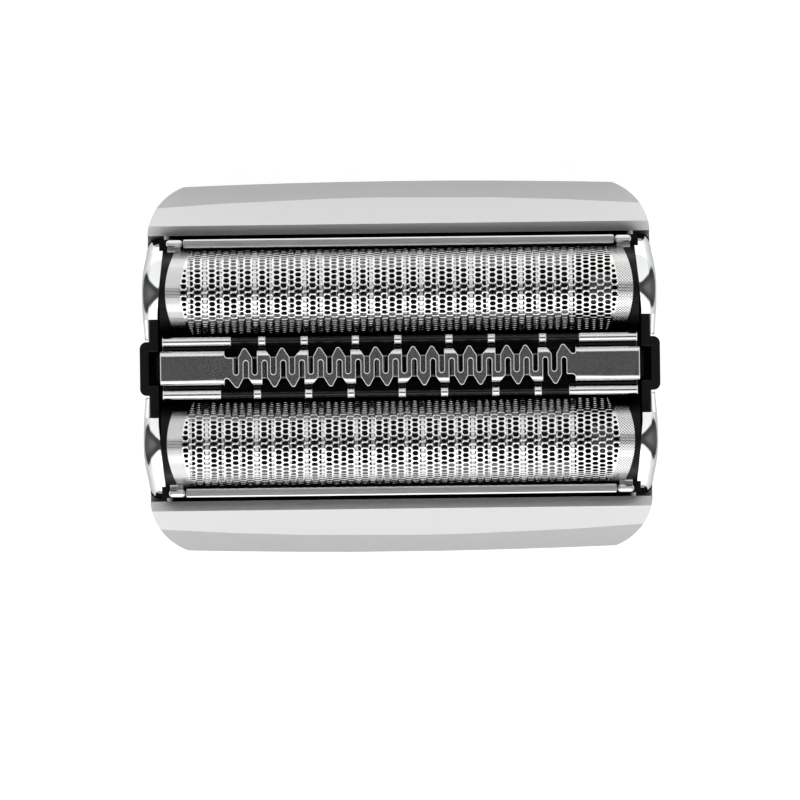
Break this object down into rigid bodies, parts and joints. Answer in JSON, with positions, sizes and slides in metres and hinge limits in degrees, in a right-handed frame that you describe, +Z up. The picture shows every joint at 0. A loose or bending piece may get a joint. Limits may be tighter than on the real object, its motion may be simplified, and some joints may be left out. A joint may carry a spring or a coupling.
{
  "type": "shaver foil head",
  "caption": "Cassette shaving head with sprung perforated foils, arched cutter blocks, a folded lifting comb with its moving blade, and a flared shell that clips on from above.",
  "frame": {"origin": "under the middle of the housing, on the rim that it stands on", "axes": "+X along the foils, +Y towards the rear foil, +Z up out of the foils"},
  "size_m": [0.0454, 0.0326, 0.021],
  "materials": {
    "silver_shell": "satin metallic paint",
    "black_plastic": "glossy",
    "foil_nickel": "bright",
    "blade_steel": "ground",
    "comb_steel": "satin",
    "chrome": "mirror",
    "spring_steel": "satin"
  },
  "bodies": {
    "housing": {"housing": "silver_shell", "chassis": "black_plastic", "rear_left_spring": "spring_steel", "rear_right_spring": "spring_steel", "front_left_spring": "spring_steel", "front_right_spring": "spring_steel", "trimmer_left_spring": "spring_steel", "trimmer_right_spring": "spring_steel"},
    "rear_unit": {"rear_foil": "foil_nickel", "rear_foil_frame": "black_plastic", "rear_clamp_strip": "chrome", "rear_left_cap": "chrome", "rear_right_cap": "chrome"},
    "front_unit": {"front_foil": "foil_nickel", "front_foil_frame": "black_plastic", "front_clamp_strip": "chrome", "front_left_cap": "chrome", "front_right_cap": "chrome"},
    "rear_cutter": {"rear_blades": "blade_steel", "rear_cutter_spine": "black_plastic"},
    "front_cutter": {"front_blades": "blade_steel", "front_cutter_spine": "black_plastic"},
    "trimmer": {"lifting_comb": "comb_steel", "trimmer_holder": "black_plastic"},
    "trimmer_cutter": {"trimmer_blade": "blade_steel", "trimmer_drive": "black_plastic"}
  },
  "joints": [
    {"name": "rear_float", "type": "slide", "parent": "housing", "child": "rear_unit", "axis": [0, 0, 1], "range_m": [-0.0018, 0], "stiffness_N_per_m": 400, "springref_m": 0.001, "deforming": ["rear_left_spring", "rear_right_spring"]},
    {"name": "front_float", "type": "slide", "parent": "housing", "child": "front_unit", "axis": [0, 0, 1], "range_m": [-0.0018, 0], "stiffness_N_per_m": 400, "springref_m": 0.001, "deforming": ["front_left_spring", "front_right_spring"]},
    {"name": "trimmer_float", "type": "slide", "parent": "housing", "child": "trimmer", "axis": [0, 0, 1], "range_m": [-0.0015, 0], "stiffness_N_per_m": 300, "springref_m": 0.001, "deforming": ["trimmer_left_spring", "trimmer_right_spring"]},
    {"name": "rear_stroke", "type": "slide", "parent": "rear_unit", "child": "rear_cutter", "axis": [1, 0, 0], "range_m": [0, 0.0034]},
    {"name": "front_stroke", "type": "slide", "parent": "front_unit", "child": "front_cutter", "axis": [1, 0, 0], "range_m": [0, 0.0034]},
    {"name": "trimmer_stroke", "type": "slide", "parent": "trimmer", "child": "trimmer_cutter", "axis": [1, 0, 0], "range_m": [0, 0.0034]}
  ]
}
